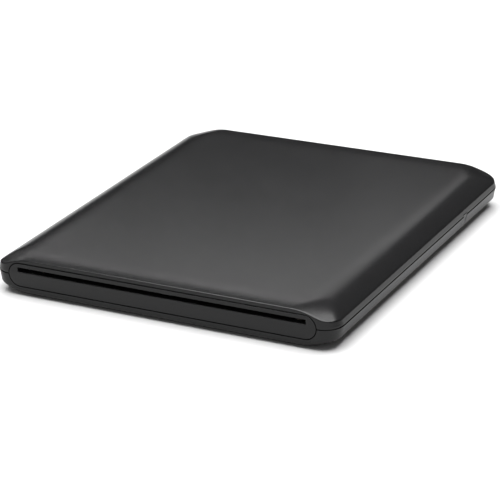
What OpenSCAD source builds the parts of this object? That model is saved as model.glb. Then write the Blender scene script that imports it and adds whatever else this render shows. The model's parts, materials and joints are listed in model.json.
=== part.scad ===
// Slim slot-loading external optical drive, an assembly of separate pieces.
// Millimetres, +Z up. The origin is on the desk, under the middle of the case; the slot faces -Y.

/* [Case] */
// width over the side bands
case_w = 148; // [148:0.5:149]
// depth, front face to back face
case_d = 162; // [162:1:166]
// height from the desk to the flat top
case_h = 16; // [16:0.1:16.5]
// height of the rubber feet below the case
foot_h = 1; // [0.9:0.1:1.2]
// wall thickness of both covers
wall = 1.6; // [1.5:0.1:1.6]
// height of the seam between the covers
seam_z = 9.3; // [9.2:0.1:9.4]
// corner radius seen from above
corner_r = 7.5; // [6.5:0.5:7.5]

/* [Front] */
// width of the stadium-shaped bezel
bezel_w = 132; // [130:1:133]
// height of the bezel
bezel_h = 9.35; // [9:0.05:9.4]
// width of the disc slot
slot_w = 124; // [123:0.5:125]
// height of the disc slot
slot_h = 1.95; // [1.9:0.05:2]
// gap around the bezel
bezel_gap = 0.2; // [0.1:0.05:0.25]

/* [Mechanism] */
// angle by which the traverse hangs below level at rest
tilt = 1.814; // [1.7:0.01:1.814]
// tooth module of the loading gears
gear_m = 0.3; // [0.29:0.01:0.3]
// inner radius of the rubber rollers, at their thin ends
roller_waist_r = 1.7; // [1.5:0.05:1.9]

/* [Hidden] */
$fn = 64;
far = 200;
eps = 0.01;

// case outline
side_x = case_w / 2;
front_y = -case_d / 2;
rear_y = case_d / 2;
slope_w = 12.5;
top_slope_r = 17.7;
low_slope_r = 22;
band_draft_top = 0.32;
band_draft_low = 0.219;
roll_w = 7;
roll_r = 44.8;
edge_r = 2;
edge_min_r = 0.3;
facet_top_z = 10.39;
facet_low_z = 5.4;
facet_kx = 0.361;
facet_ky = 0.22;
facet_norm = sqrt(1 + facet_kx * facet_kx + facet_ky * facet_ky);
facet_tilt = acos(1 / facet_norm);
floor_z = foot_h + wall;

// seam details
groove_h = 0.55;
groove_depth = 0.4;
lip_t = 0.8;
lip_h = 1;
key_y = 41.8;
key_w = 4;
key_h = 0.4;

// bezel and slot
bezel_z = 8.975;
slot_z = 11.075;
bezel_t = 1.6;
bezel_tab = 0.35;
felt_x = 63;
felt_t = 0.8;
felt_h = 1.1;
felt_top_z = 11.8;
felt_low_z = 10.35;

// feet, case screws and rear ports
foot_r = 5;
foot_recess = 0.6;
foot_x = 52;
foot_y = 64;
boss_x = 67.3;
boss_front_y = -52;
boss_rear_y = 62;
boss_r = 3.2;
case_screw_r = 1;
case_head_r = 1.9;
case_head_z = 3.6;
rib_y = [-50, 0, 40];
lip_y = [-60, 55];
board_z = 4.7;
board_t = 0.8;
board_top = board_z + board_t;
bridge_holes = [[-54, rear_y - 8], [0, rear_y - 8], [54, rear_y - 8]];
standoff_r = 2;
usb_x = -30;
jack_x = -14.5;
jack_z = 9;

// screws: two sizes of shank, threaded holes and clearance holes
screw_m = 0.8;
screw_s = 0.7;
thread_fit = 0.02;
clear_fit = 0.15;

// mechanism envelope
tray_x = 62.6;
tray_front_y = -75.5;
tray_rear_y = 53.5;
tray_z = 3.2;
sheet = 0.6;
tray_floor = tray_z + sheet;
lid_z = 12.5;
lid_t = 0.5;
corner_cut = 3;
disc_y = -11;
clamp_ring_z = 11.8;
lid_ear_x = 64.4;
lid_ears = [[lid_ear_x, -30], [lid_ear_x, 30], [-lid_ear_x, -30], [-lid_ear_x, 30]];
tray_ears = [[-30, 57.2], [24, 57.2]];
pcb_z = 4.6;
pcb_x = 36;
pcb_w = 25.4;
pcb_screws = [[39, -48], [58.5, -48], [39, 30], [58.5, 30]];
slider_posts = [-30, -6];
arm_pivot = [40, 42];
arm_tip = [8, 50];
arm_z = 9.15;
arm_top_z = 10;
ear_r = 1.9;
ear_z = 5.8;
window_x = 61;
window_z = 5.4;
pcb_top = pcb_z + board_t;
guide_low_z = 11.85;
slide_x = 31;

// loading gears, axes along X; centres are [y, z]
pressure = 25;
addendum = 0.8;
dedendum = 1.05;
backlash = 0.05;
flank_steps = 5;
gear_big = 18;
gear_small = 9;
gear_roller = 12;
mesh_gap = 0.04;
roller_c = [-73.5, 8.2];
train_z = 7.1;
mesh_roller = gear_m * (gear_roller + gear_small) / 2 + mesh_gap;
mesh_train = gear_m * (gear_big + gear_small) / 2 + mesh_gap;
gear_2_c = [roller_c[0] + sqrt(pow(mesh_roller, 2) - pow(roller_c[1] - train_z, 2)), train_z];
gear_1_c = [gear_2_c[0] + mesh_train, train_z];
motor_c = [gear_1_c[0] + mesh_train, train_z];
roller_to_2 = atan2(train_z - roller_c[1], gear_2_c[0] - roller_c[0]);
plane_a = 56;
plane_b = 57.5;
plane_c = 59;
gear_w = 1.2;
plate_x = 54.6;
plate_t = 0.8;
plate_low_y = -74.8;
plate_front_y = -75.3;
plate_top_z = 10;
bush_r = 1.4;
pin_head_r = 0.9;
motor_r = 4;
motor_x = [39, 53];
motor_flat = 3;
axle_r = 0.5;
axle_bore = 0.55;
shaft_r = 0.75;

// traverse, in its own level frame: s runs from the spindle to the hinge, t across it
hinge_s = 69.5;
hinge_z = 8.3;
travel_dir = 135;
deck_z = 8;
deck_t = 0.6;
rod_t = 15.5;
rod_z = 7.2;
rod_r = 0.8;
screw_t = -20.5;
screw_z = 7.9;
base_z = 6.1;
base_screws = [[-12.5, -12.5], [-12.5, 12.5], [6, 16.8]];
rotor_r = 14.3;
seat_z = 10.46;
lens_s = 24;
pin_mid = [-14, -22];
pin_r = 0.9;
cam_x = 26.8;
cam_t = 0.8;
cam_travel = 11;
cam_low = [-5.3, 5.62];
cam_high = [5.7, 8.3];

// ---------------------------------------------------------------- shared shapes

module box(x, y, z) {
  translate([x[0], y[0], z[0]])
    cube([x[1] - x[0], y[1] - y[0], z[1] - z[0]]);
}

module rod(r, z0, z1) {
  translate([0, 0, z0])
    cylinder(h = z1 - z0, r = r);
}

// turns local Z to +X, with local X along +Y and local Y along +Z
module along_x(c) {
  translate([0, c[0], c[1]])
    rotate([90, 0, 90])
      children();
}

module four_corners(x, y) {
  for (sx = [-1, 1], sy = [-1, 1])
    translate([sx * x, sy * y])
      children();
}

module at_each(points) {
  for (p = points)
    translate([p[0], p[1], 0])
      children();
}

module stadium(w, h) {
  square([w - h, h], center = true);
  for (s = [-1, 1])
    translate([s * (w - h) / 2, 0])
      circle(r = h / 2);
}

module screw(head_r, head_h, shank_r, shank_l) {
  rod(shank_r, 0, shank_l);
  difference() {
    rod(head_r, -head_h, 0);
    rotate(45)
      box([-head_r * 0.6, head_r * 0.6], [-0.15, 0.15], [-head_h - 1, -head_h * 0.5]);
    rotate(-45)
      box([-head_r * 0.6, head_r * 0.6], [-0.15, 0.15], [-head_h - 1, -head_h * 0.5]);
  }
}

// ---------------------------------------------------------------- case outline, inset by t

module slope_half(r, z, t) {
  square([2 * (side_x - slope_w), 4 * case_h], center = true);
  for (s = [-1, 1])
    translate([s * (side_x - slope_w), z])
      circle(r = r - t, $fn = 128);
}

module cross_section(t) {
  x0 = side_x - t;
  top_x = x0 - band_draft_top * (case_h - seam_z);
  low_x = x0 - band_draft_low * (seam_z - foot_h);
  intersection() {
    polygon([[-x0, seam_z], [-low_x, foot_h + t], [low_x, foot_h + t],
      [x0, seam_z], [top_x, case_h - t], [-top_x, case_h - t]]);
    slope_half(top_slope_r, case_h - top_slope_r, t);
    slope_half(low_slope_r, foot_h + low_slope_r, t);
  }
}

module side_section(t) {
  y0 = rear_y - t;
  r = max(edge_r - t, edge_min_r);
  intersection() {
    translate([-y0, foot_h + t])
      square([2 * y0, case_h - foot_h - 2 * t]);
    union() {
      square([2 * (rear_y - roll_w), 4 * case_h], center = true);
      for (s = [-1, 1])
        translate([s * (rear_y - roll_w), case_h - roll_r])
          circle(r = roll_r - t, $fn = 128);
    }
    union() {
      square([2 * (y0 - r), 4 * case_h], center = true);
      translate([-y0, foot_h + t + r])
        square([2 * y0, 2 * case_h]);
      for (s = [-1, 1])
        translate([s * (y0 - r), foot_h + t + r])
          circle(r = r);
    }
  }
}

module plan_outline(t) {
  x0 = side_x - t;
  y0 = rear_y - t;
  r = corner_r - t;
  square([2 * (x0 - r), 2 * y0], center = true);
  square([2 * x0, 2 * (y0 - r)], center = true);
  four_corners(x0 - r, y0 - r)
    circle(r = r);
}

module above_facet(z) {
  for (sx = [-1, 1], sy = [-1, 1])
    translate([sx * side_x, sy * rear_y, z])
      rotate([0, facet_tilt, atan2(sy * facet_ky, sx * facet_kx)])
        box([-30, 30], [-30, 30], [0, 20]);
}

module envelope(t) {
  difference() {
    intersection() {
      translate([0, rear_y - t, 0])
        rotate([90, 0, 0])
          linear_extrude(2 * (rear_y - t))
            cross_section(t);
      translate([-side_x, 0, 0])
        rotate([90, 0, 90])
          linear_extrude(case_w)
            side_section(t);
      linear_extrude(2 * case_h)
        plan_outline(t);
    }
    above_facet(facet_top_z - t * facet_norm);
    mirror([0, 0, 1])
      above_facet(-facet_low_z - t * facet_norm);
  }
}

module front_opening(w, h, y0, y1) {
  translate([0, y1, bezel_z])
    rotate([90, 0, 0])
      linear_extrude(y1 - y0)
        stadium(w, h);
}

module port_openings() {
  box([usb_x - 4.2, usb_x + 4.2], [rear_y - 3, rear_y + 1], [5.2, 9.8]);
  translate([jack_x, rear_y + 1, jack_z])
    rotate([90, 0, 0])
      rod(3.2, 0, 4);
}

module boss_places() {
  for (s = [-1, 1], y = [boss_front_y, boss_rear_y])
    translate([s * boss_x, y, 0])
      children();
}

// ---------------------------------------------------------------- case

module top_cover() {
  color([0.09, 0.09, 0.1])
  difference() {
    intersection() {
      envelope(0);
      box([-far, far], [-far, far], [seam_z, far]);
      union() {
        difference() {
          box([-far, far], [-far, far], [0, far]);
          envelope(wall);
        }
        boss_places()
          rod(boss_r - 0.6, seam_z, case_h - wall / 2);
        for (y = rib_y)
          box([-50, 50], [y - 0.6, y + 0.6], [lid_z + lid_t + 0.1, case_h - wall / 2]);
      }
    }
    boss_places()
      rod(case_screw_r + 0.02, seam_z - 1, 12.1);
    front_opening(bezel_w + 2 * bezel_gap, bezel_h + 2 * bezel_gap, front_y - 1, front_y + bezel_t + eps);
    port_openings();
    box([side_x - 1, side_x + 1], [key_y - key_w / 2 - 0.05, key_y + key_w / 2 + 0.05],
      [seam_z - 1, seam_z + key_h + 0.05]);
  }
}

module seam_groove() {
  difference() {
    box([-far, far], [-far, far], [seam_z - groove_h, seam_z + eps]);
    linear_extrude(2 * case_h)
      plan_outline(groove_depth);
    box([side_x - 2, side_x + 1], [key_y - key_w / 2, key_y + key_w / 2], [0, case_h]);
  }
}

module bottom_cover() {
  color([0.09, 0.09, 0.1])
  difference() {
    union() {
      intersection() {
        envelope(0);
        box([-far, far], [-far, far], [0, seam_z]);
        union() {
          difference() {
            box([-far, far], [-far, far], [0, far]);
            envelope(wall);
          }
          boss_places()
            rod(boss_r, foot_h + wall / 2, seam_z);
          at_each(tray_ears)
            rod(standoff_r, foot_h + wall / 2, ear_z);
          at_each(bridge_holes)
            rod(standoff_r, foot_h + wall / 2, board_z);
          for (s = [-1, 1])
            box([s * 72 - 0.9, s * 72 + 0.9], lip_y, [seam_z - 1.6, seam_z]);
          for (s = [-1, 1], x = [24, 46])
            box([s * x - 0.5, s * x + 0.5], [front_y + wall + 1.5, tray_front_y - 0.3],
              [foot_h + wall / 2, 4.5]);
        }
      }
      for (s = [-1, 1])
        box([s * 71.5 - lip_t / 2, s * 71.5 + lip_t / 2], lip_y, [seam_z - 1, seam_z + lip_h]);
      intersection() {
        envelope(0.1);
        box([side_x - 0.95, side_x + 1], [key_y - key_w / 2, key_y + key_w / 2],
          [seam_z - 1, seam_z + key_h]);
      }
    }
    seam_groove();
    boss_places() {
      rod(case_screw_r + 0.1, 0, seam_z + 1);
      rod(case_head_r + 0.2, 0, case_head_z);
    }
    four_corners(foot_x, foot_y)
      rod(foot_r + 0.1, 0, foot_h + foot_recess);
    at_each(concat(tray_ears, bridge_holes))
      rod(screw_m + thread_fit, 2.4, 6);
    front_opening(bezel_w + 2 * bezel_gap, bezel_h + 2 * bezel_gap, front_y - 1, front_y + bezel_t + eps);
    port_openings();
  }
}

module front_bezel() {
  color([0.11, 0.11, 0.12])
  difference() {
    union() {
      front_opening(bezel_w, bezel_h, front_y, front_y + bezel_t);
      for (s = [-1, 1])
        box([s * 40 - 5, s * 40 + 5], [front_y + bezel_t, front_y + bezel_t + 0.9],
          [bezel_z - bezel_h / 2 - bezel_tab, bezel_z + bezel_h / 2 + bezel_tab]);
    }
    box([-slot_w / 2, slot_w / 2], [front_y - 1, front_y + 4], [slot_z - slot_h / 2, slot_z + slot_h / 2]);
    box([-felt_x, felt_x], [front_y + bezel_t, front_y + 4],
      [felt_low_z - felt_h - 0.1, felt_top_z + felt_h + 0.1]);
  }
}

module dust_felts() {
  color([0.04, 0.04, 0.04])
  for (z = [felt_top_z, felt_low_z - felt_h])
    box([-felt_x, felt_x], [front_y + bezel_t, front_y + bezel_t + felt_t], [z, z + felt_h]);
}

module rubber_feet() {
  color([0.05, 0.05, 0.05])
  four_corners(foot_x, foot_y) {
    rod(foot_r - 0.5, 0, 0.5);
    rod(foot_r, 0.5, foot_h + foot_recess);
  }
}

module case_screws() {
  color([0.2, 0.2, 0.21])
  boss_places()
    translate([0, 0, case_head_z])
      screw(case_head_r, 1.1, case_screw_r, 8.2);
}

// ---------------------------------------------------------------- bridge electronics

module bridge_board() {
  color([0.05, 0.25, 0.14])
  difference() {
    box([-60, 60], [60, rear_y - 3.5], [board_z, board_z + board_t]);
    at_each(bridge_holes)
      rod(screw_m + clear_fit, 0, case_h);
  }
}

module bridge_controller() {
  color([0.06, 0.06, 0.07])
    box([8, 18], [62, 72], [board_top, board_top + 1.2]);
}

module bridge_capacitors() {
  color([0.6, 0.6, 0.62])
  for (x = [-48, -42])
    translate([x, 67, 0]) {
      rod(2, board_top + 0.6, board_top + 5.2);
      box([-2.2, 2.2], [-2.2, 2.2], [board_top, board_top + 0.6]);
    }
}

module bridge_inductor() {
  color([0.16, 0.16, 0.16])
    translate([-3, 66, board_top])
      intersection() {
        rod(3.2, 0, 2.6);
        box([-2.6, 2.6], [-2.6, 2.6], [0, 3]);
      }
}

module usb_port() {
  z0 = board_top;
  color([0.75, 0.75, 0.77])
  difference() {
    box([usb_x - 3.9, usb_x + 3.9], [rear_y - 9.5, rear_y - 0.3], [z0, z0 + 4]);
    box([usb_x - 3.4, usb_x + 3.4], [rear_y - 7, rear_y], [z0 + 1.6, z0 + 3.5]);
    box([usb_x - 2.6, usb_x + 2.6], [rear_y - 7, rear_y], [z0 + 0.5, z0 + 1.7]);
  }
  color([0.05, 0.05, 0.05])
    box([usb_x - 2.5, usb_x + 2.5], [rear_y - 7, rear_y - 1.6], [z0 + 1.7, z0 + 2.5]);
}

module dc_jack() {
  z0 = board_top;
  color([0.07, 0.07, 0.07])
  difference() {
    union() {
      box([jack_x - 4, jack_x + 4], [rear_y - 11, rear_y - 1.7], [z0, z0 + 7]);
      translate([jack_x, rear_y - 0.3, jack_z])
        rotate([90, 0, 0])
          rod(3, 0, 2);
    }
    translate([jack_x, rear_y + 1, jack_z])
      rotate([90, 0, 0])
        rod(2.3, 0, 10);
  }
  color([0.75, 0.75, 0.77])
    translate([jack_x, rear_y - 2, jack_z])
      rotate([90, 0, 0])
        rod(0.6, 0, 8);
}

module bridge_socket() {
  color([0.06, 0.06, 0.06])
  difference() {
    box([36.5, 57.5], [55.2, 63], [5.5, 8.9]);
    box([38.2, 55.8], [54, 60], [6.7, 7.9]);
    box([36, 60], [54, 60.1], [4, 5.6]);
  }
}

module bridge_screws() {
  color([0.62, 0.62, 0.64])
  at_each(bridge_holes)
    translate([0, 0, board_top])
      mirror([0, 0, 1])
        screw(1.6, 0.7, screw_m, 2.9);
}

// ---------------------------------------------------------------- mechanism: frame

module sheet_plan(inset) {
  x0 = tray_x - inset;
  y0 = tray_front_y + inset;
  y1 = tray_rear_y - inset;
  c = corner_cut;
  polygon([[-x0 + c, y0], [x0 - c, y0], [x0, y0 + c], [x0, y1 - c],
    [x0 - c, y1], [-x0 + c, y1], [-x0, y1 - c], [-x0, y0 + c]]);
}

module floor_window() {
  translate([0, disc_y, 0])
    rotate(travel_dir)
      linear_extrude(case_h)
        polygon([[-17.5, -18], [-10.5, -24.5], [12, -24.5], [12, 18.5], [-10.5, 18.5], [-17.5, 12.5]]);
}

module mech_tray() {
  color([0.7, 0.71, 0.72])
  difference() {
    union() {
      translate([0, 0, tray_z])
        linear_extrude(lid_z - tray_z)
          sheet_plan(0);
      at_each(lid_ears)
        ear(lid_z - sheet, lid_z);
      for (p = tray_ears)
        box([p[0] - 3, p[0] + 3], [tray_rear_y - sheet, p[1] + 2], [ear_z, ear_z + sheet]);
    }
    difference() {
      translate([0, 0, tray_floor])
        linear_extrude(case_h)
          sheet_plan(sheet);
      at_each(pcb_screws)
        rod(1.7, 0, pcb_z);
    }
    box([-window_x, window_x], [tray_front_y - 1, tray_front_y + 1.6], [window_z, case_h]);
    box([35.5, 58.5], [tray_rear_y - 1, tray_rear_y + 1], [4.7, 9.4]);
    floor_window();
    at_each(pcb_screws)
      rod(screw_s + thread_fit, 0, pcb_z + 1);
    at_each(lid_ears)
      rod(screw_s + thread_fit, lid_z - 2, case_h);
    at_each(tray_ears)
      rod(screw_m + clear_fit, ear_z - 1, ear_z + 2);
  }
}

module ear(z0, z1) {
  rod(ear_r, z0, z1);
  box([-ear_r, ear_r], [-ear_r, ear_r], [z0, z1]);
}

module mech_lid() {
  color([0.72, 0.73, 0.74])
  difference() {
    union() {
      translate([0, 0, lid_z])
        linear_extrude(lid_t)
          sheet_plan(0);
      at_each(lid_ears)
        ear(lid_z, lid_z + lid_t);
      translate([0, disc_y, 0])
        rotate_extrude($fn = 96)
          polygon([[8.8, lid_z + 0.1], [9.5, clamp_ring_z], [16, clamp_ring_z], [17.4, lid_z + 0.1]]);
    }
    translate([0, disc_y, 0])
      rotate_extrude($fn = 96)
        polygon([[9.4, case_h], [9.4, lid_z + 0.2], [9.9, clamp_ring_z + 0.5],
          [15.7, clamp_ring_z + 0.5], [16.8, lid_z + 0.2], [16.8, case_h]]);
    at_each(lid_ears)
      rod(screw_s + clear_fit, lid_z - 1, case_h);
    for (s = [-1, 1])
      box([s * 30 - 9, s * 30 + 9], [34, 38], [lid_z - 1, case_h]);
  }
}

module lid_screws() {
  color([0.62, 0.62, 0.64])
  at_each(lid_ears)
    translate([0, 0, lid_z + lid_t])
      mirror([0, 0, 1])
        screw(1.4, 0.5, screw_s, 1.6);
}

module tray_screws() {
  color([0.62, 0.62, 0.64])
  at_each(tray_ears)
    translate([0, 0, ear_z + sheet])
      mirror([0, 0, 1])
        screw(1.6, 0.7, screw_m, 3.4);
}

module damper_pads() {
  color([0.08, 0.08, 0.08])
  for (x = [-48, 48], y = [-66, 44])
    translate([x, y, 0])
      rod(3.5, floor_z, tray_z);
}

module disc_guide() {
  color([0.12, 0.12, 0.12])
    box([-59, 59], [-75, -71.4], [guide_low_z, lid_z]);
}

// ---------------------------------------------------------------- mechanism: main board

module main_board() {
  color([0.05, 0.25, 0.14])
  difference() {
    box([pcb_x, pcb_x + pcb_w], [-52, 50], [pcb_z, pcb_z + board_t]);
    translate([arm_pivot[0], arm_pivot[1], 0])
      rod(2.6, 0, case_h);
    at_each(pcb_screws)
      rod(screw_s + clear_fit, 0, case_h);
  }
}

module main_controller() {
  color([0.06, 0.06, 0.07])
    box([42, 56], [-14, 0], [pcb_top, pcb_top + 1.3]);
}

module motor_driver() {
  color([0.06, 0.06, 0.07])
    box([45, 52], [10, 19], [pcb_top, pcb_top + 1]);
}

module flex_connector() {
  color([0.8, 0.76, 0.66])
    box([pcb_x + 0.6, pcb_x + 4.6], [-40, -18], [pcb_top, pcb_top + 1.6]);
}

module drive_plug() {
  color([0.05, 0.05, 0.05]) {
    box([37, 57], [47, 54.2], [pcb_top, 8.8]);
    box([38.4, 55.6], [54.2, 58.6], [6.8, 7.8]);
  }
}

module main_board_screws() {
  color([0.62, 0.62, 0.64])
  at_each(pcb_screws)
    translate([0, 0, pcb_top])
      mirror([0, 0, 1])
        screw(1.4, 0.5, screw_s, 1.8);
}

// ---------------------------------------------------------------- loading train

function involute(a) = tan(a) * 180 / PI - a;

function tooth_half(teeth, rb, r) =
  90 / teeth + involute(pressure) - involute(acos(min(1, rb / r)))
  - backlash / (gear_m * teeth) * 180 / PI;

module spur(teeth, w) {
  rp = gear_m * teeth / 2;
  rb = rp * cos(pressure);
  ra = rp + addendum * gear_m;
  rf = rp - dedendum * gear_m;
  r0 = max(rb, rf + 0.01);
  radii = [for (k = [0:flank_steps]) r0 + (ra - r0) * k / flank_steps];
  linear_extrude(w)
    polygon([for (i = [0:teeth - 1]) each concat(
      [tooth_point(rf, i / teeth, -tooth_half(teeth, rb, r0))],
      [for (r = radii) tooth_point(r, i / teeth, -tooth_half(teeth, rb, r))],
      [for (k = [0:flank_steps]) tooth_point(radii[flank_steps - k], i / teeth,
        tooth_half(teeth, rb, radii[flank_steps - k]))],
      [tooth_point(rf, i / teeth, tooth_half(teeth, rb, r0))])]);
}

function tooth_point(r, turn, a) = [r * cos(360 * turn + a), r * sin(360 * turn + a)];

module loading_gear(c, teeth, x, w, phase) {
  along_x(c)
    translate([0, 0, x])
      rotate(phase)
        spur(teeth, w);
}

module bored(c, r) {
  difference() {
    children();
    along_x(c)
      rod(r, 0, 100);
  }
}

function in_gap(teeth, phase) = phase + 180 + 180 / teeth;

module cheek(x, end_y) {
  box([x, x + plate_t], [plate_low_y, end_y], [tray_floor, plate_top_z]);
  box([x, x + plate_t], [plate_front_y, plate_low_y + 1], [window_z + 0.1, plate_top_z]);
}

module gear_plate() {
  color([0.7, 0.71, 0.72])
  difference() {
    union() {
      cheek(plate_x, -57);
      box([plate_x - 4.4, plate_x], [-57.9, -57], [tray_floor, tray_floor + 3]);
    }
    along_x(roller_c)
      rod(bush_r + eps, 50, 60);
    along_x(gear_2_c)
      rod(axle_r + eps, 50, 60);
    along_x(gear_1_c)
      rod(axle_r + eps, 50, 60);
    along_x(motor_c)
      rod(1.3, 50, 60);
  }
}

module gear_pins() {
  color([0.75, 0.75, 0.77]) {
    along_x(gear_2_c) {
      rod(axle_r, plate_x, 59.05);
      rod(pin_head_r, 58.8, 59.05);
      rod(pin_head_r, plate_x + plate_t, plane_a - 0.1);
    }
    along_x(gear_1_c) {
      rod(axle_r, plate_x, 60.6);
      rod(pin_head_r, 60.35, 60.6);
      rod(pin_head_r, plate_x + plate_t, plane_b - 0.1);
    }
  }
}

module roller_bracket() {
  color([0.7, 0.71, 0.72])
  difference() {
    union() {
      cheek(-plate_x - plate_t, -69);
      box([-plate_x, -plate_x + 4.4], [-70.6, -69], [tray_floor, tray_floor + sheet]);
    }
    along_x(roller_c)
      rod(bush_r + eps, -60, -50);
  }
}

module roller_bushes() {
  color([0.85, 0.84, 0.78])
  for (s = [-1, 1])
    difference() {
      along_x(roller_c)
        rod(bush_r, s * (plate_x + plate_t / 2) - 0.5, s * (plate_x + plate_t / 2) + 0.5);
      along_x(roller_c)
        rod(shaft_r + 0.04, -100, 100);
    }
}

module loading_motor() {
  color([0.66, 0.67, 0.68])
  difference() {
    intersection() {
      along_x(motor_c)
        union() {
          rod(motor_r, motor_x[0], motor_x[1]);
          rod(1.25, motor_x[1], plate_x + plate_t);
          rod(1.5, motor_x[0] - 0.6, motor_x[0]);
        }
      box([38, 56], [-70, -50], [train_z - motor_flat, train_z + motor_flat]);
    }
    along_x(motor_c)
      rod(axle_r + 0.04, 40, 60);
  }
  color([0.7, 0.71, 0.72])
  difference() {
    box([motor_x[1], plate_x], [motor_c[0] - 3.9, motor_c[0] + 3.9],
      [train_z - motor_flat, train_z + 2.8]);
    along_x(motor_c)
      rod(1.27, 50, 60);
  }
}

module motor_shaft() {
  color([0.8, 0.8, 0.82])
    along_x(motor_c)
      rod(axle_r, 40.2, 60.4);
}

module motor_pinion() {
  color([0.78, 0.62, 0.3])
  bored(motor_c, axle_r + eps)
    loading_gear(motor_c, gear_small, plane_c, gear_w, in_gap(gear_small, 0));
}

module load_gear_1() {
  color([0.9, 0.89, 0.84])
  bored(gear_1_c, axle_bore) {
    loading_gear(gear_1_c, gear_small, plane_b, plane_c - plane_b, in_gap(gear_small, 0));
    loading_gear(gear_1_c, gear_big, plane_c, gear_w, 0);
  }
}

module load_gear_2() {
  color([0.9, 0.89, 0.84])
  bored(gear_2_c, axle_bore) {
    loading_gear(gear_2_c, gear_small, plane_a, plane_b - plane_a, in_gap(gear_small, roller_to_2));
    loading_gear(gear_2_c, gear_big, plane_b, gear_w, 0);
  }
}

module roller_gear() {
  color([0.9, 0.89, 0.84])
  bored(roller_c, shaft_r + eps)
    loading_gear(roller_c, gear_roller, plane_a, gear_w, roller_to_2);
}

module roller_shaft() {
  color([0.8, 0.8, 0.82])
    along_x(roller_c)
      rod(shaft_r, -57, 57.3);
}

module feed_rollers() {
  color([0.1, 0.1, 0.1])
  for (m = [0, 1])
    mirror([m, 0, 0])
      difference() {
        along_x(roller_c)
          translate([0, 0, 3])
            cylinder(h = 50.6, r1 = roller_waist_r, r2 = 2.1);
        along_x(roller_c)
          rod(shaft_r + eps, 0, 100);
      }
}

// ---------------------------------------------------------------- lift slider and stop arm

module cam_slot(r) {
  dy = cam_high[0] - cam_low[0];
  dz = cam_high[1] - cam_low[1];
  for (p = [cam_low, cam_high])
    translate(p)
      circle(r = r);
  translate(cam_low)
    rotate(atan2(dz, dy))
      translate([0, -r])
        square([sqrt(dy * dy + dz * dz), 2 * r]);
}

module lift_slider() {
  z0 = tray_floor + 0.1;
  color([0.84, 0.83, 0.78])
  difference() {
    union() {
      box([cam_x, 34], [-34, 11], [z0, z0 + sheet]);
      box([cam_x, cam_x + cam_t], [-9, 11], [z0, 10.1]);
      box([cam_x + cam_t, slide_x], [10, 11], [z0, 8]);
    }
    rotate([90, 0, 90])
      translate([0, 0, cam_x - 1])
        linear_extrude(3)
          cam_slot(pin_r + 0.1);
    for (y = slider_posts)
      translate([slide_x, y, 0]) {
        rod(1.08, 0, 5);
        translate([0, cam_travel + 0.1, 0])
          rod(1.08, 0, 5);
        box([-1.08, 1.08], [0, cam_travel + 0.1], [0, 5]);
      }
  }
}

module slide_posts() {
  color([0.75, 0.75, 0.77])
  for (y = slider_posts)
    translate([slide_x, y, 0]) {
      rod(1, tray_floor, tray_floor + 0.8);
      rod(1.9, tray_floor + 0.8, tray_floor + 1.2);
    }
}

module arm_post() {
  color([0.75, 0.75, 0.77])
  translate([arm_pivot[0], arm_pivot[1], 0]) {
    rod(2.2, tray_floor, 9.1);
    rod(1.2, 9.1, 10.05);
    rod(2, 10.05, 10.3);
  }
}

module stop_arm() {
  reach = arm_tip - arm_pivot;
  color([0.84, 0.83, 0.78])
  difference() {
    union() {
      translate([arm_pivot[0], arm_pivot[1], 0])
        rod(3.2, arm_z, arm_top_z);
      translate([arm_tip[0], arm_tip[1], 0]) {
        rod(1.6, arm_z, arm_top_z);
        rod(0.6, arm_z, 12.1);
      }
      translate([arm_pivot[0], arm_pivot[1], 0])
        rotate(atan2(reach[1], reach[0]))
          box([0, norm(reach)], [-1.4, 1.4], [arm_z, arm_top_z]);
    }
    translate([arm_pivot[0], arm_pivot[1], 0])
      rod(1.26, 8, 12);
  }
}

module stop_roller() {
  color([0.12, 0.12, 0.12])
  translate([arm_tip[0], arm_tip[1], 0])
    difference() {
      rod(1.2, 10.05, 12);
      rod(0.61, 9, 13);
    }
}

// ---------------------------------------------------------------- traverse

module on_traverse() {
  translate([0, disc_y, hinge_z])
    rotate(travel_dir)
      translate([hinge_s, 0, 0])
        rotate([0, -tilt, 0])
          translate([-hinge_s, 0, -hinge_z])
            children();
}

// the hinge stays level with the tray
module at_hinge() {
  translate([0, disc_y, 0])
    rotate(travel_dir)
      children();
}

module along_s(t, z) {
  translate([0, t, z])
    rotate([0, 90, 0])
      children();
}

module along_t(s, z) {
  translate([s, 0, z])
    rotate([-90, 0, 0])
      children();
}

module hinge_bracket() {
  color([0.7, 0.71, 0.72])
  at_hinge()
    difference() {
      union() {
        box([67.8, 71.2], [-13.4, 12.4], [tray_floor, tray_floor + sheet]);
        box([67.8, 71.2], [-13.4, -12.8], [tray_floor, 9.8]);
        box([67.8, 71.2], [11.8, 12.4], [tray_floor, 9.8]);
      }
      along_t(hinge_s, hinge_z)
        rod(0.71, -20, 20);
    }
}

module hinge_pin() {
  color([0.75, 0.75, 0.77])
  at_hinge()
    along_t(hinge_s, hinge_z)
      rod(0.7, -13.7, 12.7);
}

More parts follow.
